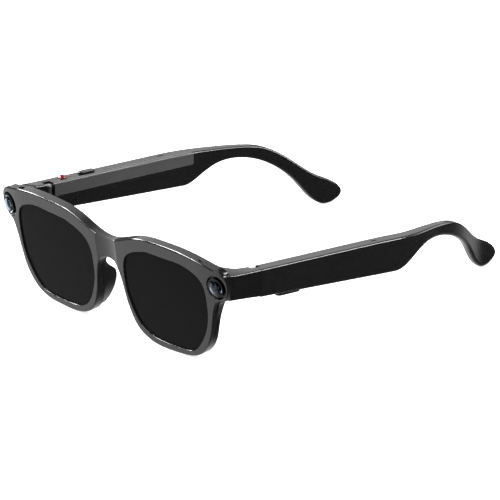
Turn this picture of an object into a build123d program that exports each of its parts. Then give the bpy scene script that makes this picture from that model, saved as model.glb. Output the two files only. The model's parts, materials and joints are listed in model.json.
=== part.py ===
from build123d import *
import os
from math import asin, cos, degrees, hypot, sin, sqrt

# Smart glasses, in millimetres.  Modelled first as worn: x to the wearer's left, y towards the ears,
# z up, with level temples.  At the end everything is turned to stand on its rims and temple tips.
# The pieces of one side are made for the wearer's left, and mirrored for the right.

# ---- front ----
tilt_angle = 8.9            # the front leans in towards the cheeks
face_radius = 890.0         # the front's gentle wrap, about an upright axis
bend_x = 56.0               # outside this the front turns back more
bend_radius = 90.0
face_y = -2.85              # the front surface at the bridge
fascia_depth = 1.6          # front skin of the rims
front_depth = 4.0           # whole thickness of the rims
pad_round = 0.5             # rounding of the nose pads' free edges
edge_round = 0.55           # rounding of the front's outer edges
rim_round = 0.25            # rounding of the edges round each lens
lens_depth = 0.7            # how far the lens face lies behind the front surface
lens_thickness = 1.8
lens_ledge = 0.8            # how far the lens runs under the rim
lens_play = 0.05
bridge_scoop = 0.8          # depth of the hollow across the bridge
bridge_half = 6.6           # half the hollow's width
cable_width = 2.0
cable_thickness = 0.2
cable_play = 0.25           # beside the cable in its groove
cable_depth = 1.72          # from the front surface to the cable

# ---- corner windows ----
window_x = 66.5             # each window's centre, from the middle
window_z = -0.2
recess_r = 4.85             # the well that each window sits in
ring_outer = 3.95
ring_inner = 3.55
ring_proud = 0.5            # the ring's lip, in front of the face
ring_foot_depth = 1.2       # the ring's wide foot starts this deep
ring_play = 0.1
dome_proud = 1.6            # the dome's crown, in front of the face
dome_rise = 1.2             # height of the dome's cap
dome_base_depth = 1.1
dome_skin = 0.7
glass_play = 0.05
bore_r = 3.3                # the bore behind each window
bore_end = 6.6

# ---- camera and light, behind the windows ----
barrel_r = 2.75
barrel_front = 0.5          # depth of the barrel's mouth
barrel_length = 3.1
sensor_width = 4.4
sensor_length = 2.2
eyepiece_r = 1.9
eyepiece_depth = 0.5
aperture_r = 1.2
lens_ball_r = 3.2
light_board_r = 3.2
light_board_depth = 1.7
light_board_thickness = 0.6
led_size = (0.9, 0.7, 2.4)
led_spread = 1.1

# ---- temples ----
temple_outer = 71.6
temple_inner = 64.6
temple_middle = (temple_outer + temple_inner) / 2
split_y = 18.6              # the hinge line, where temple and end piece meet
split_gap = 0.1             # half the gap between their end faces
temple_start = split_y + split_gap
top_front = 4.8             # top of the temple at the hinge
top_rear = 4.5              # top of the temple where the hook begins
hook_start = 76.0
bottom_front = -6.5
bottom_rear = -9.2
bottom_end = 85.0           # where the lower edge turns up into the hook
edge_radius = 1.2           # rounding of the temple's long edges
end_edge_radius = 1.0       # rounding of the end piece's edges
cover_seam = 66.1           # x of the seam between housing and cover
cover_low = -0.7            # lower edge of the cover
cover_start = split_y + 2.5
cover_end = 89.0
seam_gap = 0.08
cavity_outer = 70.4
wall = 1.25                 # thickness of the temple's lower wall
duct = (69.2, 70.2, -2.4, 2.4)      # x and z limits of the cable duct past the hinge

# ---- hinges ----
hinge_x = 66.2
knuckle_r = 1.6
pin_r = 0.7
pin_play = 0.05
pin_head_r = 1.25
pin_head = 0.55
pocket_side = 1.8           # from the hinge axis to the pocket's outer wall
pocket_half = 2.0           # the pocket, before and behind the axis
leaf_half = 0.45            # half the leaf's thickness
leaf_length = 5.6
leaf_start = 1.0            # from the hinge axis to the plate
leaf_relief = 1.9           # room round the other leaf's knuckle
knuckle_top = 3.6
knuckle_low = -4.4
middle_top = 1.7
middle_low = -2.5
knuckle_gap = 0.08
screw_r = 0.5
screw_head_r = 0.9
screw_head = 0.45
screw_end = 69.2
screw_places = ((3.2, 1.6), (4.4, -2.2))    # distance from the hinge line, and height
driver_slot = (0.1, 0.15)   # half width and depth of a screw's slot

# ---- buttons ----
press_travel = 0.35
switch_gap = 0.15           # left between a pressed button and its switch
button_play = 0.1           # all round each button
skirt = 0.4                 # thickness of the flange that keeps a button in
skirt_reach = 0.25          # how far the flange runs under the wall
skirt_low = 2.7             # underside of the top buttons' flanges
button_x = 68.25
capture_y = 27.1
capture_r = 1.85
capture_edge = 4.9          # where the capture button's crown begins
capture_crown = 1.15
mode_y = 38.8
mode_length = 7.6
mode_width = 2.8
mode_top = 5.7
power_y = 32.6
power_x = 69.3
power_length = 11.5
power_width = 3.6
power_low = bottom_front - 1.5
power_skirt_top = -5.0
light_y = 30.6
light_r = 0.5

# ---- electronics ----
board_x = (67.4, 68.1)
board_y = (split_y + leaf_length + 1.0, 42.6)
board_z = (-4.6, 0.8)
tact_half = 1.3
tact_height = 0.9
plunger_r = 0.7
mic_y = 75.5                # the slot on top, near the hook
mic_slot_size = (2.8, 0.8)
call_mic_y = 30.7           # the pinhole in the right temple's inner wall
call_mic_z = -4.3
pinhole_r = 0.45
contact_z = -4.0
contact_r = 0.8
contact_places = (46.0, 51.0)
magnet_r = 1.5
magnet_x = 65.4             # the magnets' inner ends, under the surface
magnet_places = (42.0, 55.0)
slot_count = 4              # sound slots under each speaker
slot_step = 2.2
slot_first = 73.2

# ---- stance ----
stand_angle = 4.45          # turn that brings rims and temple tips onto one plane

far = 200.0                 # larger than the glasses


# ---- helpers ----
def tilted(shape):
    return Rot(tilt_angle, 0, 0) * shape


def upright(shape):
    return Rot(-tilt_angle, 0, 0) * shape


def block(x0, x1, y0, y1, z0, z1):
    return Pos((x0 + x1) / 2, (y0 + y1) / 2, (z0 + z1) / 2) * Box(x1 - x0, y1 - y0, z1 - z0)


def along_x(radius, x0, x1, y, z):
    return Pos((x0 + x1) / 2, y, z) * Rot(0, 90, 0) * Cylinder(radius, x1 - x0)


def along_y(radius, y0, y1, x, z):
    return Pos(x, (y0 + y1) / 2, z) * Rot(90, 0, 0) * Cylinder(radius, y1 - y0)


def along_z(radius, z0, z1, x, y):
    return Pos(x, y, (z0 + z1) / 2) * Cylinder(radius, z1 - z0)


def slot_prism(length, width, z0, z1, x, y):
    """A slot-shaped upright prism, long from front to back."""
    face = Pos(x, y, z0) * Rot(0, 0, 90) * SlotOverall(length, width)
    return extrude(face, amount=z1 - z0)


def joined(shapes):
    total = None
    for shape in shapes:
        total = shape if total is None else total + shape
    return total


def other_side(shape):
    return mirror(shape, about=Plane.YZ)


def both(shape):
    return shape + other_side(shape)


# The front's plan is a wide arc that turns into a tighter one at each end.
bend_angle = asin(bend_x / face_radius)
bend_centre_x = bend_x - bend_radius * sin(bend_angle)
bend_centre_y = face_y + face_radius - (face_radius - bend_radius) * cos(bend_angle)


def surface_y(x):
    """The front surface's y at a distance from the middle."""
    if abs(x) < bend_x:
        return face_y + face_radius - sqrt(face_radius**2 - x**2)
    return bend_centre_y - sqrt(bend_radius**2 - (abs(x) - bend_centre_x)**2)


def behind(depth, height=80.0):
    """Space deeper than the given depth, as far back as the end pieces reach."""
    turn = degrees(bend_angle)
    sweep = 20.0
    middle = CenterArc((0, face_y + face_radius), face_radius - depth, -90 - turn, 2 * turn)
    left = CenterArc((bend_centre_x, bend_centre_y), bend_radius - depth, turn - 90, sweep)
    right = mirror(left, about=Plane.YZ)
    rear = Polyline(left @ 1, (90, 60), (-90, 60), right @ 1)
    return extrude(make_face([middle, left, right, rear]), amount=height, both=True)


def layer(near_depth, deep_depth):
    """Space between two depths behind the front surface."""
    return behind(near_depth) - behind(deep_depth, 100.0)


window_turn = degrees(asin((window_x - bend_centre_x) / bend_radius))


def at_window(shape):
    """Takes a shape made about the y axis, with the face at y = 0, to the left window."""
    return Pos(window_x, surface_y(window_x), window_z) * Rot(0, 0, window_turn) * shape


def prism(face):
    """A face given in x and height, extruded both ways through the front."""
    return extrude(Plane.XZ * face, amount=60, both=True)


# ---- the front, in its own upright position ----
def front_face(lobe_points, rim_start):
    brow_end = (66.0, 7.0)
    nose_start = (9.6, -20.4)
    brow = Spline((0, 3.9), (9.5, 5.7), (20, 9.0), (34, 10.2), (48, 9.9), (60, 8.3), brow_end,
                  tangents=((1, 0), (1, -0.2)))
    lobe = Spline(brow_end, *lobe_points, rim_start, tangents=((1, -0.2), (-0.5, -1)))
    rim = Spline(rim_start, (62.2, -15.4), (58.6, -25.2), (51.5, -32.2), (38, -34.6), (25, -34.3),
                 (15.5, -30.6), nose_start, tangents=((-0.5, -1), (-0.35, 1)))
    nose = Spline(nose_start, (7.3, -10.5), (4.7, -5.7), (0, -4.5), tangents=((-0.35, 1), (-1, 0)))
    half = [brow, lobe, rim, nose]
    return make_face(half + [mirror(edge, about=Plane.YZ) for edge in half])


def fascia_face():
    """The skin's outline, with a round lobe about each window."""
    return front_face([(69.4, 5.9), (71.8, 3.8), (72.4, 0.7), (71.4, -2.9), (69.1, -5.0), (66.3, -6.3)],
                      (64.5, -8.6))


def frame_face():
    """The frame's outline: a smaller lobe, and a softer corner under the end piece."""
    return front_face([(68.6, 5.9), (70.6, 3.8), (71.2, 0.7), (70.6, -3.2), (68.6, -6.2), (67.0, -7.0)],
                      (65.2, -9.0))


def grown(edge, amount):
    """A curve beside a clockwise one, further out by the amount."""
    points = []
    for k in range(7):
        along = edge % (k / 6)
        points.append(edge @ (k / 6) + Vector(-along.Y, along.X) * amount)
    return Spline(points, tangents=(edge % 0, edge % 1))


def lens_face(grow=0.0):
    top = (36, 5.0)
    outside = (60.2, -8.0)
    low = (38, -32.0)
    inside = (10.0, -8.5)
    edges = [
        Spline(top, (49, 4.6), (57, 1.6), outside, tangents=((1, 0), (0, -1))),
        Spline(outside, (58, -20), (51.4, -29.0), low, tangents=((0, -1), (-1, 0))),
        Spline(low, (27, -31.7), (16.8, -27.7), (11.2, -18), inside, tangents=((-1, 0), (0, 1))),
        Spline(inside, (14.2, 1.0), (23.5, 4.3), top, tangents=((0, 1), (1, 0))),
    ]
    if grow:
        edges = [grown(edge, grow) for edge in edges]
    return make_face(edges)


def cable_face(width):
    """The flat cable's route across the brow, dipping over the bridge."""
    route = Spline((-62.5, 5.6), (-50, 7.3), (-34, 7.7), (-20, 6.9), (-10, 3.4), (0, 1.2), (10, 3.4),
                   (20, 6.9), (34, 7.7), (50, 7.3), (62.5, 5.6))
    return trace(route, line_width=width)


def on_front_surface(edge):
    middle = edge @ 0.5
    return abs(middle.Y - surface_y(middle.X)) < 0.03


def beside_lens(edge):
    middle = edge @ 0.5
    return 8 < abs(middle.X) < 61 and -32.5 < middle.Z < 5.5


def round_window(edge):
    middle = edge @ 0.5
    return abs(hypot(abs(middle.X) - window_x, middle.Z - window_z) - recess_r) < 0.3


def front_fascia():
    skin = prism(fascia_face()) & layer(0, fascia_depth)
    skin = fillet(ShapeList([edge for edge in skin.edges() if on_front_surface(edge)]), edge_round)
    skin -= both(prism(lens_face()))
    rim_edges = [edge for edge in skin.edges() if on_front_surface(edge) and beside_lens(edge)]
    skin = fillet(ShapeList(rim_edges), rim_round)
    skin -= both(prism(lens_face(lens_ledge))) & layer(lens_depth, fascia_depth + 1)
    skin -= both(at_window(along_y(recess_r, -20, 20, 0, 0)))
    well_edges = [edge for edge in skin.edges() if on_front_surface(edge) and round_window(edge)]
    skin = fillet(ShapeList(well_edges), rim_round)
    scoop_radius = (bridge_half**2 + bridge_scoop**2) / (2 * bridge_scoop)
    skin -= Pos(0, face_y + bridge_scoop - scoop_radius, 0) * Cylinder(scoop_radius, far)
    return tilted(skin)


def lens():
    shape = prism(lens_face(lens_ledge - lens_play)) & layer(lens_depth, lens_depth + lens_thickness)
    return tilted(shape)


def brow_cable():
    return tilted(prism(cable_face(cable_width)) & layer(cable_depth, cable_depth + cable_thickness))


def end_section(y, slope):
    """The end piece across, at y: its top falls outwards to the temple's height at the given slope."""
    inner = 56.0
    outer = 73.0
    high = top_front + slope * (temple_outer - inner)
    low = top_front + slope * (temple_outer - outer)
    outline = Polyline((inner, high), (outer, low), (outer, -12), (inner, -12), close=True)
    return Pos(0, y, 0) * (Plane.XZ * make_face(outline))


def end_piece():
    """The block behind the front's outer end, level with the temple, that carries the hinge."""
    rear = split_y - split_gap
    inner_front = (57, 2.4)
    inner_rear = (temple_inner, 13)
    outer_front = (67.6, -6)
    outer_rear = (temple_outer, 6.0)
    plan = make_face([
        Polyline(inner_rear, (temple_inner, rear), (temple_outer, rear), outer_rear),
        Spline(outer_rear, (71.2, 3.2), (70.0, 0.0), outer_front, tangents=((0, -1), (-0.4, -1))),
        Polyline(outer_front, (57, -6), inner_front),
        Spline(inner_front, (61.2, 4.0), (63.8, 8.4), inner_rear, tangents=((1, 0.1), (0, 1))),
    ])
    low_rear = bottom_front + 0.3
    side = make_face([
        Polyline((-6, -4.7), (-6, 12), (rear, 12), (rear, low_rear)),
        Spline((rear, low_rear), (8, -5.4), (-6, -4.7), tangents=((-1, 0.1), (-1, 0.05))),
    ])
    slopes = ((-6, 0.36), (0, 0.31), (4, 0.24), (8.4, 0.14), (12.3, 0.06), (rear, 0.0))
    sloped = loft([end_section(y, slope) for y, slope in slopes])
    tall = Pos(0, 0, -30) * extrude(plan, amount=60)
    wide = Pos(50, 0, 0) * extrude(Plane.YZ * side, amount=40)
    shape = tall & wide & sloped
    edges = []
    for edge in shape.edges():
        middle = edge @ 0.5
        size = edge.bounding_box().size
        on_outer = middle.X > temple_outer - 4 and middle.Y < rear - 0.5 and size.Y > 4
        on_inner = (temple_inner - 4 < middle.X < temple_inner + 0.1 and 4 < middle.Y < rear - 0.5
                    and size.Y > 2 and middle.Z > 0)
        if on_outer or on_inner:
            edges.append(edge)
    return fillet(ShapeList(edges), end_edge_radius)


def front_frame():
    ends = both(upright(end_piece()))
    shape = (prism(frame_face()) & layer(fascia_depth, front_depth)) + (ends & behind(fascia_depth))
    shape -= both(prism(lens_face()))
    shape -= both(prism(lens_face(lens_ledge))) & layer(fascia_depth - 1, lens_depth + lens_thickness)
    groove_width = cable_width + 2 * cable_play
    shape -= prism(cable_face(groove_width)) & layer(fascia_depth - 1, fascia_depth + 0.5)
    shape -= both(at_window(along_y(recess_r, -20, fascia_depth + 0.05, 0, 0)))
    shape -= both(at_window(along_y(bore_r, -20, bore_end, 0, 0)))
    room = block(65.9, 70.3, 5.6, 12.2, -3.8, 3.4)
    room += block(duct[0], duct[1], 12, split_y + 1, duct[2], duct[3])
    room += hinge_pocket() + leaf_slot(-1) + screw_holes(-1, screw_head_front)
    shape -= both(upright(room))
    return tilted(shape)


def nose_pad():
    """A fin that carries the rim's nose side backwards, flaring a little."""
    top_in = (4.9, -6.0)
    top_out = (7.4, -5.4)
    low_in = (14.6, -29.6)
    low_out = (15.6, -28.2)
    band = make_face([
        Spline(top_in, (7.35, -10.5), (9.65, -20.4), low_in, tangents=((0.5, -1), (0.8, -1))),
        Line(low_in, low_out),
        Spline(low_out, (11.5, -20.2), (9.4, -10.6), top_out, tangents=((-0.8, 1), (-0.5, 1))),
        Line(top_out, top_in),
    ])
    flared = extrude(Plane.XZ * band, amount=24, dir=(0.2, 1, 0))
    top = (-1, -6.0)
    low = (-1, -31.5)
    side = make_face([
        Spline(top, (1.4, -8.6), (4.6, -12.7), (7.9, -16.3), (7.8, -20.8), (6.0, -26.6), (3.4, -30.2), low,
               tangents=((1, -0.6), (-1, -0.3))),
        Line(low, top),
    ])
    wide = extrude(Plane.YZ * side, amount=30, both=True)
    pad = flared & wide & behind(front_depth)
    rear_edges = [edge for edge in pad.edges() if (edge @ 0.5).Y > 5 and edge.length > 10]
    return tilted(fillet(ShapeList(rear_edges), pad_round))


# ---- corner windows: made about the y axis, with the face at y = 0 ----
def window_ring():
    shape = along_y(ring_outer, -ring_proud, fascia_depth, 0, 0)
    shape += along_y(recess_r - ring_play, ring_foot_depth, fascia_depth, 0, 0)
    return tilted(at_window(shape - along_y(ring_inner, -20, 20, 0, 0)))


def dome(radius, ball, shoulder, base, centre_y):
    cap = Pos(0, centre_y, 0) * Sphere(ball) & along_y(radius, -20, shoulder, 0, 0)
    return along_y(radius, shoulder, base, 0, 0) + cap


def dome_window():
    shoulder = dome_rise - dome_proud
    radius = ring_inner - glass_play
    ball = (radius**2 + dome_rise**2) / (2 * dome_rise)
    centre_y = ball - dome_proud
    outside = dome(radius, ball, shoulder, dome_base_depth, centre_y)
    hollow = dome(radius - dome_skin, ball - dome_skin, shoulder, dome_base_depth + 1, centre_y)
    return tilted(at_window(outside - hollow))


def camera_module():
    barrel_end = barrel_front + barrel_length
    sensor_y = barrel_end + sensor_length / 2
    eyepiece_end = barrel_front + eyepiece_depth
    shape = along_y(barrel_r, barrel_front, barrel_end, 0, 0)
    shape += Pos(0, sensor_y, 0) * Box(sensor_width, sensor_length, sensor_width)
    shape -= along_y(eyepiece_r, -20, eyepiece_end, 0, 0)
    return tilted(at_window(shape - along_y(aperture_r, -20, eyepiece_end + 0.7, 0, 0)))


def camera_lens():
    ball = Pos(0, barrel_front + 0.1 + lens_ball_r, 0) * Sphere(lens_ball_r)
    eyepiece_end = barrel_front + eyepiece_depth
    return tilted(at_window(ball & along_y(eyepiece_r - glass_play, -20, eyepiece_end, 0, 0)))


def light_board():
    rear = light_board_depth + light_board_thickness
    return tilted(at_window(along_y(light_board_r, light_board_depth, rear, 0, 0)))


def light_leds():
    led = Box(*led_size)
    y = light_board_depth - led_size[1] / 2
    return tilted(at_window(joined(Pos(x, y, 0) * led for x in (-led_spread, led_spread))))


def camera_board():
    """The board in the end piece's hollow, with its processor."""
    return block(67.8, 68.6, 6.7, 10.0, -3.4, 3.0) + block(68.6, 69.6, 7.2, 9.4, -2.0, 1.6)


# ---- hinge: a direction of -1 is towards the front, and 1 towards the ear ----
screw_head_front = temple_inner + 0.15
screw_head_temple = hinge_x - leaf_half - 0.3


def hinge_pocket():
    inner = temple_inner - 6
    return block(inner, hinge_x + pocket_side, split_y - pocket_half, split_y + pocket_half, -20, 20)


def leaf_block(direction, start):
    ends = sorted((split_y + direction * start, split_y + direction * leaf_length))
    return block(hinge_x - leaf_half, hinge_x + leaf_half, ends[0], ends[1], knuckle_low, knuckle_top)


def leaf_slot(direction):
    return leaf_block(direction, 0)


def knuckle(z0, z1):
    return along_z(knuckle_r, z0, z1, hinge_x, split_y)


def knuckle_room(direction, z0, z1):
    """Space that the other leaf's knuckle turns in."""
    ends = sorted((split_y + direction * leaf_relief, split_y - direction * 5))
    return block(60, 75, ends[0], ends[1], z0, z1)


def leaf_screws(direction, head_x):
    head_end = head_x + screw_head
    screws = []
    for distance, z in screw_places:
        y = split_y + direction * distance
        screw = along_x(screw_head_r, head_x, head_end, y, z) + along_x(screw_r, head_end, screw_end, y, z)
        half_width, depth = driver_slot
        screw -= block(head_x - 1, head_x + depth, y - screw_head_r, y + screw_head_r, z - half_width,
                       z + half_width)
        screws.append(screw)
    return joined(screws)


def screw_holes(direction, head_x):
    holes = []
    for distance, z in screw_places:
        y = split_y + direction * distance
        holes.append(along_x(screw_head_r, 60, head_x + screw_head, y, z))
        holes.append(along_x(screw_r, head_x, screw_end, y, z))
    return joined(holes)


def front_leaf():
    low_gap = middle_low - knuckle_gap
    high_gap = middle_top + knuckle_gap
    shape = leaf_block(-1, leaf_start) - knuckle_room(-1, low_gap, high_gap)
    shape += knuckle(high_gap, knuckle_top) + knuckle(knuckle_low, low_gap)
    shape -= along_z(pin_r, -10, 10, hinge_x, split_y)
    return shape - leaf_screws(-1, screw_head_front)


def temple_leaf():
    shape = leaf_block(1, leaf_start) - knuckle_room(1, middle_top, 20) - knuckle_room(1, -20, middle_low)
    shape += knuckle(middle_low, middle_top)
    shape -= along_z(pin_r + pin_play, -10, 10, hinge_x, split_y)
    return shape - leaf_screws(1, screw_head_temple)


def hinge_pin():
    head_top = knuckle_top + pin_head
    shape = along_z(pin_r, knuckle_low - 0.2, knuckle_top, hinge_x, split_y)
    shape += along_z(pin_head_r, knuckle_top, head_top, hinge_x, split_y)
    return shape - block(hinge_x - 2, hinge_x + 2, split_y - 0.15, split_y + 0.15, head_top - 0.25, 20)


# ---- temple body ----
def temple_plan():
    tip_outer = (50.4, 152.5)
    tip_inner = (46.7, 152.5)
    outer_bend = (temple_outer, 75)
    inner_bend = (temple_inner, 75)
    return make_face([
        Line((temple_outer, temple_start), outer_bend),
        Spline(outer_bend, (70.2, 95), (65.9, 110), (61.0, 125), (54.2, 138), tip_outer,
               tangents=((0, 1), (-0.2, 1))),
        Line(tip_outer, tip_inner),
        Spline(tip_inner, (50.0, 138), (56.6, 125), (60.8, 110), (63.9, 95), inner_bend,
               tangents=((0.25, -1), (0, -1))),
        Polyline(inner_bend, (temple_inner, temple_start), (temple_outer, temple_start)),
    ])


def temple_side():
    top_corner = (temple_start, top_front)
    low_corner = (temple_start, bottom_front)
    hook_top = (hook_start, top_rear)
    hook_low = (bottom_end, bottom_rear)
    return make_face([
        Line(top_corner, hook_top),
        Spline(hook_top, (96, 3.9), (109, 3.5), (120.5, 1.6), (130, -4.0), (140, -11.5), (148.6, -16.5),
               (150.2, -19.0), (142.7, -23.7), (138.8, -22.0), (131.0, -12.5), (120.0, -4.2),
               (110.5, -1.4), (101, -2.0), (94, -5.4), hook_low, tangents=((1, -0.01), (-1, -0.035))),
        Polyline(hook_low, low_corner, top_corner),
    ])


def temple_body():
    tall = extrude(temple_plan(), amount=60, both=True)
    body = tall & extrude(Plane.YZ * temple_side(), amount=90)
    edges = []
    for edge in body.edges():
        size = edge.bounding_box().size
        if (edge @ 0.5).Y > temple_start + 1 and size.Y > 4 and size.Y > size.X / 2:
            edges.append(edge)
    return fillet(ShapeList(edges), edge_radius)


def temple_cavity():
    front = split_y + leaf_length + 0.4
    slope = (bottom_rear - bottom_front) / (bottom_end - split_y)
    low_front = bottom_front + slope * (front - split_y) + wall
    low_rear = bottom_rear + wall
    side = make_face(Polyline((front, 3.2), (86, 3.0), (86, low_rear + 1.0), (82, low_rear),
                              (front, low_front), close=True))
    return Pos(cover_seam, 0, 0) * extrude(Plane.YZ * side, amount=cavity_outer - cover_seam)


def cover_zone(gap):
    return block(temple_inner - 8, cover_seam + gap, cover_start - gap, cover_end + gap, cover_low - gap, 20)


def temple_housing():
    duct_end = split_y + leaf_length + 2
    shape = temple_body() - cover_zone(seam_gap) - temple_cavity() - hinge_pocket() - leaf_slot(1)
    shape -= screw_holes(1, screw_head_temple)
    shape -= block(duct[0], duct[1], split_y - 1, duct_end, duct[2], duct[3])
    shape -= slot_prism(*mic_slot_size, 2.5, 9, button_x, mic_y)
    slot_places = [slot_first + slot_step * k for k in range(slot_count)]
    shape -= joined(slot_prism(1.7, 0.7, -20, -5.6, temple_middle + 0.1, y) for y in slot_places)
    return shape - block(66.9, 69.5, 71.7, 81.3, -6.1, -5.0)


def temple_cover():
    shape = (temple_body() & cover_zone(0)) - hinge_pocket() - leaf_slot(1)
    heads = [along_x(screw_head_r + 0.1, screw_head_temple - 0.1, 70, split_y + distance, z)
             for distance, z in screw_places]
    return shape - joined(heads)


def right_openings():
    holes = along_z(capture_r + button_play, 2, 9, button_x, capture_y)
    holes += slot_prism(mode_length + 2 * button_play, mode_width + 2 * button_play, 2, 9, button_x, mode_y)
    holes += along_z(light_r, 2, 9, button_x, light_y)
    return holes + along_x(pinhole_r, 60, cover_seam + 0.2, call_mic_y, call_mic_z)


def left_openings():
    holes = slot_prism(power_length + 2 * button_play, power_width + 2 * button_play, -20, -4.8,
                       power_x, power_y)
    holes += joined(along_x(contact_r, 60, cover_seam + 0.2, y, contact_z) for y in contact_places)
    return holes + joined(along_x(magnet_r, magnet_x, cover_seam + 0.2, y, contact_z) for y in magnet_places)


# ---- buttons and what they press ----
def capture_button():
    shape = along_z(capture_r + skirt_reach, skirt_low, skirt_low + skirt, button_x, capture_y)
    shape += along_z(capture_r, skirt_low + skirt, capture_edge, button_x, capture_y)
    ball_r = (capture_r**2 + capture_crown**2) / (2 * capture_crown)
    ball = Pos(button_x, capture_y, capture_edge + capture_crown - ball_r) * Sphere(ball_r)
    return shape + (ball & along_z(capture_r, capture_edge, 8, button_x, capture_y))


def mode_button():
    flange = slot_prism(mode_length + 2 * skirt_reach, mode_width + 2 * skirt_reach, skirt_low,
                        skirt_low + skirt, button_x, mode_y)
    cap = slot_prism(mode_length, mode_width, skirt_low + skirt, mode_top, button_x, mode_y)
    return flange + fillet(cap.edges().group_by(Axis.Z)[-1], 0.5)


def power_button():
    flange_low = power_skirt_top - skirt
    reach = power_length / 2 + skirt
    flange = block(66.9, 70.2, power_y - reach, power_y + reach, flange_low, power_skirt_top)
    cap = slot_prism(power_length, power_width, power_low, flange_low, power_x, power_y)
    return flange + fillet(cap.edges().group_by(Axis.Z)[0], 0.7)


def top_switch(x, y):
    """A switch on the board's upper edge, under a button."""
    tip = skirt_low - press_travel - switch_gap
    low = board_z[1]
    base = block(x - 1.4, x + 1.4, y - tact_half, y + tact_half, low, low + tact_height)
    return base + along_z(plunger_r, low + tact_height, tip, x, y)


def power_switch():
    """A side-push switch on the board's face, over the power button."""
    tip = power_skirt_top + press_travel + switch_gap
    low = tip + 0.4
    y = board_y[0] + 1.0 + tact_half
    base = block(board_x[1], board_x[1] + 2.2, y - tact_half, y + tact_half, low, low + tact_height)
    return base + along_z(plunger_r, tip, low, board_x[1] + 1.1, y)


def status_light():
    return along_z(light_r, 3.0, top_front + 0.05, button_x, light_y)


# ---- electronics in the temples ----
def battery():
    cell = block(66.35, 70.15, 44, 69, -5.3, 2.7)
    cell = fillet(cell.edges().filter_by(Axis.Y), 0.8)
    return cell + block(67.6, 68.9, 43, 44, -2.2, 1.4)


def circuit_board():
    board = block(*board_x, *board_y, *board_z)
    outer_chip = block(board_x[1], 69.1, 36.5, 41.5, -4.0, -0.6)
    inner_chip = block(66.6, board_x[0], 37.2, 40.8, -3.6, -0.4)
    return board + outer_chip + inner_chip


def shield_can():
    can = block(board_x[1], 69.6, 29, 35.5, -4.2, 0.4)
    return fillet(can.edges().filter_by(Axis.X), 0.5)


def speaker():
    case = block(66.4, 70.1, 71, 82.4, -5.6, -0.4)
    case = fillet(case.edges().filter_by(Axis.Z), 1.0)
    return case + block(67.2, 69.4, 72.5, 80.9, -0.4, 0.3)


def speaker_mesh():
    return block(67.0, 69.4, 71.8, 81.2, -6.0, -5.65)


def microphone():
    return block(67.4, 69.6, mic_y - 1.4, mic_y + 1.4, 1.9, 3.0)


def call_microphone():
    return block(66.3, board_x[0], call_mic_y - 1.3, call_mic_y + 1.3, board_z[0], board_z[0] + 1.5)


def charging_contacts():
    return joined(along_x(contact_r, temple_inner - 0.05, cover_seam, y, contact_z) for y in contact_places)


def charging_magnets():
    return joined(along_x(magnet_r, magnet_x, cover_seam, y, contact_z) for y in magnet_places)


# ---- all the pieces ----
parts = {
    "front_fascia": front_fascia(),
    "front_frame": front_frame(),
    "brow_cable": brow_cable(),
    "camera_ring": other_side(window_ring()),
    "camera_window": other_side(dome_window()),
    "camera_module": other_side(camera_module()),
    "camera_lens": other_side(camera_lens()),
    "camera_board": other_side(camera_board()),
    "light_ring": window_ring(),
    "light_window": dome_window(),
    "light_board": light_board(),
    "light_leds": light_leds(),
    "temple_housing_left": temple_housing() - left_openings(),
    "temple_housing_right": other_side(temple_housing() - right_openings()),
    "capture_button": other_side(capture_button()),
    "mode_button": other_side(mode_button()),
    "power_button": power_button(),
    "capture_switch": other_side(top_switch(button_x + 0.6, capture_y + 1.0)),
    "mode_switch": other_side(top_switch(button_x, mode_y)),
    "power_switch": power_switch(),
    "status_light": other_side(status_light()),
    "call_microphone": other_side(call_microphone()),
    "charging_contacts": charging_contacts(),
    "charging_magnets": charging_magnets(),
}
pairs = {
    "lens": lens(),
    "nose_pad": nose_pad(),
    "hinge_front_leaf": front_leaf(),
    "hinge_temple_leaf": temple_leaf(),
    "hinge_pin": hinge_pin(),
    "front_leaf_screws": leaf_screws(-1, screw_head_front),
    "temple_leaf_screws": leaf_screws(1, screw_head_temple),
    "temple_cover": temple_cover(),
    "battery": battery(),
    "circuit_board": circuit_board(),
    "shield_can": shield_can(),
    "speaker": speaker(),
    "speaker_mesh": speaker_mesh(),
    "microphone": microphone(),
}
for name, shape in pairs.items():
    parts[name + "_left"] = shape
    parts[name + "_right"] = other_side(shape)

# ---- stand it on its rims and temple tips, centred over the origin ----
stood = {name: Rot(-stand_angle, 0, 0) * shape for name, shape in parts.items()}
boxes = [shape.bounding_box() for shape in stood.values()]
front_most = min(box.min.Y for box in boxes)
rear_most = max(box.max.Y for box in boxes)
lowest = min(box.min.Z for box in boxes)
shift = Pos(0, -(front_most + rear_most) / 2, -lowest)
os.makedirs("parts", exist_ok=True)
for name, shape in stood.items():
    export_step(shift * shape, "parts/" + name + ".step")
print("moved back by", (front_most + rear_most) / 2, "and up by", -lowest)
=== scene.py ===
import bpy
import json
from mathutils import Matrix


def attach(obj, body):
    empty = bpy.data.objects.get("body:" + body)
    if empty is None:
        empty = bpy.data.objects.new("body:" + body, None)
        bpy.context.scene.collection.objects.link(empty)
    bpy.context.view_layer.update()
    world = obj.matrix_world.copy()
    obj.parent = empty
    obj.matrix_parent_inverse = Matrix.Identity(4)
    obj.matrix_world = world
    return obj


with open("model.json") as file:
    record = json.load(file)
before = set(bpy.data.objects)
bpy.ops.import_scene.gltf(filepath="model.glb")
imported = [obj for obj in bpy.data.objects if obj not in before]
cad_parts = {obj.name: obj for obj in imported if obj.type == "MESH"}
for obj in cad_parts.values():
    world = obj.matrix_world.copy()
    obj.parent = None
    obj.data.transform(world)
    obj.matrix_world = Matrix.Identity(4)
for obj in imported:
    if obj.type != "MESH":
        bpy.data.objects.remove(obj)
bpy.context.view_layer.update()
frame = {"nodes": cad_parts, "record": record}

import json
from math import asin, cos, pi, radians, sin, sqrt

import bmesh
import bpy
from mathutils import Matrix, Vector

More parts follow.
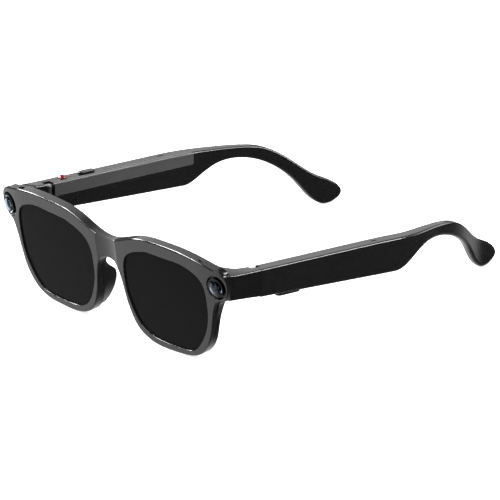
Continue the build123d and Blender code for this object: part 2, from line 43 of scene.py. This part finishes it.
MM = 0.001
stand_angle = radians(4.45)     # the glasses lean this much, to stand on rims and temple tips
stand_back = 72.501             # mm, from the worn position to the standing one
stand_up = 34.8
front_tilt = radians(8.9)       # the front's lean against the temples


def turn(v):
    """A direction given for level temples, in the standing frame."""
    x, y, z = v
    return Vector((x,
                   y * cos(stand_angle) + z * sin(stand_angle),
                   z * cos(stand_angle) - y * sin(stand_angle)))


def place(v):
    """A point in mm, given for level temples, in the standing frame in metres."""
    moved = turn(v) + Vector((0, -stand_back, stand_up))
    return moved * MM


# ---- camera ----
view_right = Vector((0.608, 0.794, 0.0))
view_up = Vector((-0.246, 0.1886, 0.951))
view_back = Vector((0.755, -0.578, 0.310))
camera_distance = 5001.0        # mm
focal_px = 12913.0
image_px = 500.0
look_right = 52.9               # mm, the picture's middle from the worn origin
look_down = 1.6

camera_data = bpy.data.cameras.new("camera")
camera_data.sensor_width = 36.0
camera_data.lens = focal_px / image_px * camera_data.sensor_width
camera_data.clip_start = 0.1
camera_data.clip_end = 50.0
camera = bpy.data.objects.new("camera", camera_data)
bpy.context.scene.collection.objects.link(camera)
bpy.context.scene.camera = camera
centre = place(look_right * view_right - look_down * view_up + camera_distance * view_back)
columns = [turn(v).normalized() for v in (view_right, view_up, view_back)]
pose = Matrix((columns[0], columns[1], columns[2])).transposed().to_4x4()
pose.translation = centre
camera.matrix_world = pose
bpy.context.scene.view_settings.view_transform = "Standard"


def fill(tree, socket, value):
    """Links another node's output to a socket, or gives it a constant."""
    if isinstance(value, bpy.types.NodeSocket):
        tree.links.new(value, socket)
    else:
        socket.default_value = value


# ---- materials ----
class Surface:
    """A material being built: a Principled shader and the patterns that drive it."""

    def __init__(self, name, sockets):
        self.material = bpy.data.materials.new(name)
        self.material.use_nodes = True
        self.tree = self.material.node_tree
        self.shader = self.tree.nodes["Principled BSDF"]
        for socket, value in sockets.items():
            self.shader.inputs[socket].default_value = value
        self.where = self.node("ShaderNodeTexCoord").outputs["Object"]
        self.normal = None

    def node(self, kind, links=(), **settings):
        made = self.tree.nodes.new(kind)
        for key, value in settings.items():
            setattr(made, key, value)
        for socket, value in dict(links).items():
            fill(self.tree, made.inputs[socket], value)
        return made

    def stretched(self, stretch):
        """The place on the object, scaled along each axis."""
        sockets = {"Vector": self.where, "Scale": stretch}
        return self.node("ShaderNodeMapping", sockets).outputs["Vector"]

    def noise(self, size_mm, detail, stretch=(1, 1, 1)):
        """Cloudy noise, from 0 to 1, whose blotches are about this large."""
        sockets = {"Vector": self.stretched(stretch), "Scale": 1 / (size_mm * MM), "Detail": detail}
        return self.node("ShaderNodeTexNoise", sockets).outputs["Fac"]

    def cells(self, size_mm, stretch=(1, 1, 1)):
        """Distance from the nearest of scattered points, in cells of this size."""
        sockets = {"Vector": self.stretched(stretch), "Scale": 1 / (size_mm * MM)}
        return self.node("ShaderNodeTexVoronoi", sockets, feature="F1").outputs["Distance"]

    def bands(self, size_mm, axis, distortion):
        """Stripes this wide across an axis, bent by the distortion."""
        sockets = {"Vector": self.where, "Scale": 1 / (2 * size_mm * MM), "Distortion": distortion}
        return self.node("ShaderNodeTexWave", sockets, bands_direction=axis).outputs["Fac"]

    def ranged(self, value, start, end, low, high):
        """A value between two levels, spread from low to high."""
        sockets = {"Value": value, "From Min": start, "From Max": end,
                   "To Min": low, "To Max": high}
        return self.node("ShaderNodeMapRange", sockets).outputs["Result"]

    def math(self, operation, first, second):
        made = self.node("ShaderNodeMath", operation=operation)
        for socket, value in zip(made.inputs, (first, second)):
            fill(self.tree, socket, value)
        return made.outputs["Value"]

    def mixed(self, factor, first, second):
        """One colour turning into another."""
        made = self.node("ShaderNodeMix", data_type="RGBA")
        self.tree.links.new(factor, made.inputs["Factor"])
        for socket, value in ((made.inputs[6], first), (made.inputs[7], second)):
            is_link = isinstance(value, bpy.types.NodeSocket)
            fill(self.tree, socket, value if is_link else (*value, 1.0))
        return made.outputs[2]

    def edges(self, radius_mm):
        """1 along edges that a thumb or a cloth rubs, and 0 on flat faces."""
        soft = self.node("ShaderNodeBevel", {"Radius": radius_mm * MM}, samples=4).outputs["Normal"]
        flat = self.node("ShaderNodeNewGeometry").outputs["Normal"]
        dot = self.node("ShaderNodeVectorMath", operation="DOT_PRODUCT")
        self.tree.links.new(soft, dot.inputs[0])
        self.tree.links.new(flat, dot.inputs[1])
        return self.ranged(dot.outputs["Value"], 0.995, 0.9, 0.0, 1.0)

    def bump(self, height, depth_mm, strength=1.0):
        sockets = {"Height": height, "Distance": depth_mm * MM, "Strength": strength}
        if self.normal:
            sockets["Normal"] = self.normal
        self.normal = self.node("ShaderNodeBump", sockets).outputs["Normal"]
        return self

    def drive(self, socket, value):
        self.tree.links.new(value, self.shader.inputs[socket])
        return self

    def done(self):
        if self.normal:
            self.drive("Normal", self.normal)
        return self.material


peel_mm = 0.002                 # depth of moulded plastic's slight waviness
most_dust = 0.35                # how much of a speck shows where dust gathers


def moulded(name, colour, gloss, level=0.5):
    """Black moulded plastic: slight waviness, wiped haze, rubbed edges and a little dust."""
    s = Surface(name, {"IOR": 1.5, "Specular IOR Level": level})
    haze = s.ranged(s.noise(9, 5), 0.42, 0.68, 0.0, 1.0)
    wipes = s.ranged(s.noise(0.5, 2, (1, 0.12, 1)), 0.45, 0.7, 0.0, 1.0)
    smear = s.math("MULTIPLY", haze, wipes)
    rubbed = s.math("MULTIPLY", s.edges(0.35), s.ranged(s.noise(3, 3), 0.35, 0.6, 0.2, 1.0))
    specks = s.math("MULTIPLY", s.ranged(s.cells(1.5), 0.03, 0.07, 1.0, 0.0),
                    s.ranged(s.noise(14, 2), 0.5, 0.62, 0.0, most_dust))
    rough = s.math("ADD", s.ranged(smear, 0.0, 1.0, gloss, gloss + 0.13),
                   s.math("MULTIPLY", specks, 0.5))
    s.drive("Roughness", s.math("ADD", rough, s.math("MULTIPLY", rubbed, 0.05)))
    dark = tuple(c * 0.8 for c in colour)
    worn = tuple(c * 1.6 + 0.004 for c in colour)
    shade = s.mixed(s.noise(22, 2), dark, colour)
    s.drive("Base Color", s.mixed(specks, s.mixed(rubbed, shade, worn), (0.22, 0.21, 0.2)))
    s.bump(s.noise(1.8, 2), peel_mm, 0.6)
    return s.bump(s.noise(0.12, 2), 0.0006, 0.5).done()


def textured(name, colour, gloss, grain_mm, depth_mm):
    """Matt moulding or pressing with an even fine grain."""
    s = Surface(name, {"Metallic": 0.0})
    grain = s.noise(grain_mm, 4)
    s.drive("Roughness", s.ranged(grain, 0.3, 0.7, gloss - 0.08, gloss + 0.1))
    s.drive("Base Color", s.mixed(s.noise(4, 3), tuple(c * 0.75 for c in colour), colour))
    return s.bump(grain, depth_mm).done()


def brushed(name, colour, gloss, along=(1, 0.05, 1), stain=0.12):
    """Metal with fine lines one way, and faint stains."""
    s = Surface(name, {"Metallic": 1.0})
    lines = s.noise(0.09, 3, along)
    marks = s.ranged(s.noise(1.6, 4), 0.45, 0.7, 0.0, 1.0)
    s.drive("Roughness", s.math("ADD", s.ranged(lines, 0.3, 0.7, gloss - 0.06, gloss + 0.08),
                                s.math("MULTIPLY", marks, stain)))
    s.drive("Base Color", s.mixed(marks, colour, tuple(c * 0.7 for c in colour)))
    return s.bump(lines, 0.003, 0.6).done()


def lens_tint(name):
    """Near-black sunglass lens, a shade lighter at the bottom, with faint wiping marks."""
    s = Surface(name, {"IOR": 1.5, "Specular IOR Level": 0.02, "Alpha": 0.998})
    height = s.node("ShaderNodeSeparateXYZ", {"Vector": s.where}).outputs["Z"]
    shade = s.ranged(height, 0.005, 0.045, 1.0, 0.0)
    s.drive("Base Color", s.mixed(shade, (0.003, 0.003, 0.0033), (0.0045, 0.0044, 0.0046)))
    smear = s.math("MULTIPLY", s.ranged(s.noise(11, 5), 0.45, 0.7, 0.0, 1.0),
                   s.noise(0.6, 2, (1, 1, 0.1)))
    s.drive("Roughness", s.ranged(smear, 0.0, 0.6, 0.04, 0.13))
    return s.bump(s.noise(14, 1), 0.01, 0.3).done()


def coated_glass(name, tint, film_nm, gloss=0.02):
    """Clear glass under a bluish coating, with a trace of dust."""
    s = Surface(name, {"IOR": 1.48, "Transmission Weight": 1.0, "Thin Film Thickness": film_nm,
                       "Thin Film IOR": 1.38})
    dust = s.ranged(s.cells(0.8), 0.03, 0.08, 0.12, 0.0)
    s.drive("Roughness", s.math("ADD", dust,
                                s.ranged(s.noise(2.5, 3), 0.45, 0.75, gloss, gloss + 0.05)))
    s.drive("Base Color", s.mixed(s.noise(3, 2), tint, tuple(min(1.0, c * 1.1) for c in tint)))
    return s.bump(s.noise(2.2, 1), 0.002, 0.3).done()


def solder_mask(name):
    """Green lacquer over copper tracks, with tinned pads."""
    s = Surface(name, {"IOR": 1.52})
    tracks = s.ranged(s.bands(0.9, "Z", 2.5), 0.72, 0.82, 0.0, 1.0)
    pads = s.ranged(s.cells(1.1), 0.12, 0.16, 1.0, 0.0)
    lacquer = s.mixed(tracks, (0.008, 0.07, 0.03), (0.02, 0.14, 0.055))
    s.drive("Base Color", s.mixed(pads, lacquer, (0.62, 0.6, 0.55)))
    s.drive("Metallic", pads)
    s.drive("Roughness", s.ranged(s.noise(0.4, 2), 0.3, 0.7, 0.25, 0.4))
    return s.bump(tracks, 0.02, 0.8).bump(pads, 0.03, 0.8).done()


hole_pitch_mm = 0.4             # between the holes of the speaker mesh


def perforated(name):
    """Blackened steel mesh with rows of round holes, drawn as near-black spots: painted shade of
    the dark space inside them.
    """
    s = Surface(name, {"Metallic": 1.0})
    scale = 1 / (hole_pitch_mm * MM)
    grid = s.node("ShaderNodeVectorMath", {0: s.where, 1: (scale, scale, scale)},
                  operation="MULTIPLY")
    cell = s.node("ShaderNodeVectorMath", {0: grid.outputs["Vector"]}, operation="FRACTION")
    place_in_cell = s.node("ShaderNodeSeparateXYZ", {"Vector": cell.outputs["Vector"]})
    x = s.math("SUBTRACT", place_in_cell.outputs["X"], 0.5)
    y = s.math("SUBTRACT", place_in_cell.outputs["Y"], 0.5)
    away = s.math("ADD", s.math("MULTIPLY", x, x), s.math("MULTIPLY", y, y))
    hole = s.ranged(away, 0.07, 0.1, 1.0, 0.0)
    # Painted shade: each hole is a near-black spot on the steel, not an opening.
    s.drive("Base Color", s.mixed(hole, (0.16, 0.16, 0.165), (0.002, 0.002, 0.002)))
    s.drive("Roughness", s.ranged(hole, 0.0, 1.0, 0.35, 0.9))
    return s.bump(s.math("SUBTRACT", 1.0, hole), 0.08, 1.0).done()


def crinkled_foil(name):
    """Pouch-cell foil with soft creases."""
    s = Surface(name, {"Metallic": 1.0})
    creases = s.cells(3.2, (1, 0.6, 1))
    s.drive("Base Color", s.mixed(s.noise(6, 3), (0.55, 0.56, 0.58), (0.72, 0.73, 0.75)))
    s.drive("Roughness", s.ranged(s.noise(1.2, 3), 0.3, 0.7, 0.22, 0.38))
    return s.bump(creases, 0.15, 0.5).bump(s.noise(0.7, 3), 0.03, 0.5).done()


def lit_plastic(name, colour, glow):
    """A small translucent light, brighter in the middle of its grain."""
    s = Surface(name, {"IOR": 1.49, "Emission Strength": glow, "Subsurface Weight": 0.1})
    grain = s.noise(0.4, 3)
    s.drive("Base Color", s.mixed(grain, tuple(c * 0.7 for c in colour), colour))
    s.drive("Emission Color", s.mixed(grain, tuple(c * 0.8 for c in colour), colour))
    s.drive("Roughness", s.ranged(grain, 0.3, 0.7, 0.12, 0.25))
    return s.bump(grain, 0.005).done()


def coloured_gloss(name, colour, gloss):
    """Tinted glossy button plastic with a touch-worn crown."""
    s = Surface(name, {"IOR": 1.5, "Coat Weight": 0.35, "Coat Roughness": 0.08})
    rubbed = s.math("MULTIPLY", s.edges(0.4), s.noise(0.8, 3))
    deep = tuple(c * 0.65 for c in colour)
    pale = tuple(min(1.0, c * 1.35 + 0.01) for c in colour)
    s.drive("Base Color", s.mixed(rubbed, s.mixed(s.noise(1.2, 3), deep, colour), pale))
    s.drive("Roughness", s.ranged(s.noise(0.5, 3), 0.3, 0.7, gloss - 0.04, gloss + 0.08))
    return s.bump(s.noise(0.6, 2), 0.003, 0.5).done()


recipes = {                     # each material's recipe and what it takes after the name
    "front_black": (moulded, (0.008, 0.008, 0.0085), 0.1),
    "frame_black": (moulded, (0.0065, 0.0065, 0.007), 0.12),
    "temple_black": (moulded, (0.0088, 0.0088, 0.0093), 0.13),
    "cover_black": (moulded, (0.07, 0.07, 0.071), 0.32),
    "pad_black": (moulded, (0.007, 0.007, 0.0075), 0.16, 0.25),
    "dark_lens": (lens_tint,),
    "window_glass": (coated_glass, (0.17, 0.22, 0.28), 120.0),
    "camera_glass": (coated_glass, (0.3, 0.5, 0.85), 140.0, 0.01),
    "ring_metal": (brushed, (0.035, 0.035, 0.037), 0.24, (1, 1, 1)),
    "barrel_black": (textured, (0.014, 0.014, 0.015), 0.5, 0.15, 0.01),
    "cable_amber": (textured, (0.5, 0.24, 0.04), 0.35, 0.5, 0.01),
    "board_green": (solder_mask,),
    "led_white": (lit_plastic, (0.8, 0.76, 0.6), 0.0),
    "hinge_steel": (brushed, (0.55, 0.55, 0.56), 0.28),
    "screw_steel": (brushed, (0.48, 0.48, 0.49), 0.25, (1, 1, 0.1)),
    "cell_foil": (crinkled_foil,),
    "can_steel": (brushed, (0.62, 0.62, 0.63), 0.3),
    "mesh_steel": (perforated,),
    "speaker_black": (textured, (0.03, 0.03, 0.03), 0.5, 0.2, 0.02),
    "microphone_metal": (brushed, (0.62, 0.52, 0.3), 0.3),
    "switch_body": (textured, (0.05, 0.05, 0.055), 0.45, 0.25, 0.02),
    "button_red": (coloured_gloss, (0.17, 0.006, 0.012), 0.16),
    "button_black": (moulded, (0.016, 0.016, 0.017), 0.2),
    "light_red": (lit_plastic, (0.3, 0.008, 0.008), 0.05),
    "contact_gold": (brushed, (0.78, 0.55, 0.2), 0.18, (1, 1, 1)),
    "magnet_nickel": (brushed, (0.66, 0.66, 0.65), 0.12, (1, 1, 1), 0.08),
}
materials = {name: recipe(name, *values) for name, (recipe, *values) in recipes.items()}
slot_of = {part["node"]: part["material_slot"] for part in frame["record"]["subparts"]}
for name, node in frame["nodes"].items():
    node.data.materials.clear()
    node.data.materials.append(materials[slot_of[name]])


# ---- small pieces behind the corner windows ----
window_x = 66.5                 # mm, a window's middle on the upright front
window_z = -0.2
face_radius = 890.0             # the front's plan: a wide arc, then a tighter one at each end
face_y = -2.85
bend_x = 56.0
bend_radius = 90.0
bend_angle = asin(bend_x / face_radius)
bend_centre_x = bend_x - bend_radius * sin(bend_angle)
bend_centre_y = face_y + face_radius - (face_radius - bend_radius) * cos(bend_angle)
window_turn = asin((window_x - bend_centre_x) / bend_radius)
window_y = bend_centre_y - sqrt(bend_radius**2 - (window_x - bend_centre_x)**2)


lathe_steps = 64                # faces round each turned piece
pad_half_x = 0.32               # mm, a phosphor pad
pad_half_z = 1.02
pad_front = 0.93
pad_rear = 0.995
pad_corner = 0.15
lamp_x = 1.1                    # mm, from the window's middle to each lamp


def at_window(side):
    """Maps mm about a window's y axis to the standing frame; side is 1 left, -1 right."""
    def moved(v):
        x, y, z = v
        across = window_x + x * cos(window_turn) - y * sin(window_turn)
        back = window_y + x * sin(window_turn) + y * cos(window_turn)
        high = window_z + z
        worn = (side * across, back * cos(front_tilt) - high * sin(front_tilt),
                back * sin(front_tilt) + high * cos(front_tilt))
        return place(worn)
    return moved


def mesh_piece(name, shape, body, slot):
    """Puts a bmesh into the scene as a smooth piece that rides on a body."""
    bmesh.ops.recalc_face_normals(shape, faces=shape.faces)
    for face in shape.faces:
        face.smooth = True
    mesh = bpy.data.meshes.new(name)
    shape.to_mesh(mesh)
    shape.free()
    mesh.materials.append(materials[slot])
    piece = bpy.data.objects.new(name, mesh)
    bpy.context.scene.collection.objects.link(piece)
    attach(piece, body)


def lathe(profile, moved):
    """A closed profile of (radius, depth) points turned about the y axis."""
    shape = bmesh.new()
    rings = []
    for k in range(lathe_steps):
        angle = 2 * pi * k / lathe_steps
        rings.append([shape.verts.new(moved((r * cos(angle), depth, r * sin(angle))))
                      for r, depth in profile])
    count = len(profile)
    for k in range(lathe_steps):
        ring, following = rings[k], rings[(k + 1) % lathe_steps]
        for i in range(count):
            j = (i + 1) % count
            shape.faces.new((ring[i], ring[j], following[j], following[i]))
    return shape


def cushion_block(half_x, half_z, front, rear, corner, moved, middle_x):
    """A small block with rounded corners and a crowned front."""
    shape = bmesh.new()
    loops = []
    for inset, depth in ((0.0, rear), (0.0, front + 0.06), (0.05, front), (0.12, front - 0.02)):
        loop = []
        for quarter in range(4):
            for step in range(5):
                angle = pi / 2 * (quarter + step / 4)
                turn_x = 1 if quarter in (0, 3) else -1
                turn_z = 1 if quarter in (0, 1) else -1
                x = middle_x + turn_x * (half_x - corner) + (corner - inset * 0.5) * cos(angle)
                z = turn_z * (half_z - corner) + (corner - inset * 0.5) * sin(angle)
                loop.append(shape.verts.new(moved((x, depth, z))))
        loops.append(loop)
    count = len(loops[0])
    for lower, upper in zip(loops, loops[1:]):
        for i in range(count):
            j = (i + 1) % count
            shape.faces.new((lower[i], lower[j], upper[j], upper[i]))
    shape.faces.new(loops[-1])
    shape.faces.new(list(reversed(loops[0])))
    return shape


left_window = at_window(1)
right_window = at_window(-1)

# The light's reflector cup: a flared wall round the two lamps.
cup = [(2.05, 1.62), (2.12, 1.3), (2.3, 0.95), (2.62, 0.62),
       (2.7, 0.6), (2.72, 0.66), (2.45, 1.0), (2.25, 1.62)]
mesh_piece("light_reflector", lathe(cup, left_window), "front", "barrel_black")
# Phosphor pads on the lamps.
for name, middle_x in (("light_phosphor_outer", lamp_x), ("light_phosphor_inner", -lamp_x)):
    pad = cushion_block(pad_half_x, pad_half_z, pad_front, pad_rear, pad_corner,
                        left_window, middle_x)
    mesh_piece(name, pad, "front", "led_white")
# The camera's retaining ring, with a stepped baffle inside it.
ring = [(1.62, 0.495), (1.62, 0.40), (1.78, 0.36), (1.84, 0.30),
        (2.28, 0.27), (2.36, 0.31), (2.38, 0.495)]
mesh_piece("camera_retaining_ring", lathe(ring, right_window), "front", "ring_metal")

# ---- light and floor ----
white_card = 1.1                # strengths of the room, as the glasses reflect it
dim_card = 0.12
black_card = 0.06
table_top = (-0.3, -0.05)       # heights of the directions where the white fades
table_edge = (-0.25, 0.3)       # and their x
aim = (40, 20, 0)               # mm, where the lights point, for level temples
light_distance = 2.0            # m
floor_half = 3.0                # m
floor_glow = 0.78               # keeps the floor white, almost without a shadow
world = bpy.data.worlds.new("studio")
world.use_nodes = True
tree = world.node_tree


def studio_node(kind, links):
    made = tree.nodes.new(kind)
    for socket, value in links.items():
        fill(tree, made.inputs[socket], value)
    return made


# The room is a white table on one side of the glasses, and dark elsewhere, as between cards.
outward = studio_node("ShaderNodeTexCoord", {}).outputs["Generated"]
direction = studio_node("ShaderNodeSeparateXYZ", {"Vector": outward})
low = studio_node("ShaderNodeMapRange", {
    "Value": direction.outputs["Z"], "From Min": table_top[0], "From Max": table_top[1],
    "To Min": white_card, "To Max": dim_card})
room = studio_node("ShaderNodeMapRange", {
    "Value": direction.outputs["X"], "From Min": table_edge[0], "From Max": table_edge[1],
    "To Min": low.outputs["Result"], "To Max": black_card})
# The camera itself sees plain white.
seen = studio_node("ShaderNodeLightPath", {}).outputs["Is Camera Ray"]
glow = studio_node("ShaderNodeMapRange", {
    "Value": seen, "To Min": room.outputs["Result"], "To Max": 1.0})
tree.links.new(glow.outputs["Result"], tree.nodes["Background"].inputs["Strength"])
tree.nodes["Background"].inputs["Color"].default_value = (1, 1, 1, 1)
bpy.context.scene.world = world


def softbox(name, direction, width, height, radiance):
    """A rectangular light, in metres, aimed from a direction given for level temples."""
    light = bpy.data.lights.new(name, "AREA")
    light.shape = "RECTANGLE"
    light.size = width
    light.size_y = height
    light.energy = radiance * pi * width * height
    box = bpy.data.objects.new(name, light)
    bpy.context.scene.collection.objects.link(box)
    away = turn(direction).normalized()
    box.location = place(aim) + away * light_distance
    box.rotation_euler = away.to_track_quat("Z", "Y").to_euler()
    box.visible_camera = False


softbox("temple_strip", (0.31, 0.58, 0.755), 0.3, 1.0, 30.0)
softbox("brow_strip", (-0.62, -0.33, 0.7), 1.5, 0.4, 45.0)
softbox("brow_strip_far", (-0.88, -0.19, 0.41), 0.9, 0.35, 40.0)
softbox("bridge_strip", (-0.05, -0.7, 0.67), 1.0, 0.22, 24.0)
softbox("rear_high", (0.1, 0.9, 0.45), 1.0, 0.5, 5.0)
softbox("back_panel", (-0.6, 0.55, 0.5), 1.9, 1.8, 0.85)

floor_mesh = bpy.data.meshes.new("floor")
corners = [(x * floor_half, y * floor_half, 0) for x, y in ((-1, -1), (1, -1), (1, 1), (-1, 1))]
floor_mesh.from_pydata(corners, [], [(0, 1, 2, 3)])
floor = bpy.data.objects.new("floor", floor_mesh)
bpy.context.scene.collection.objects.link(floor)
paper = Surface("floor_white", {"IOR": 1.4})
paper.drive("Base Color", paper.mixed(paper.noise(120, 3), (0.58, 0.58, 0.58), (0.6, 0.6, 0.6)))
paper.shader.inputs["Emission Color"].default_value = (1, 1, 1, 1)
paper.shader.inputs["Emission Strength"].default_value = floor_glow
floor.visible_glossy = False
paper.drive("Roughness", paper.ranged(paper.noise(3, 3), 0.3, 0.7, 0.85, 0.95))
floor.data.materials.append(paper.done())
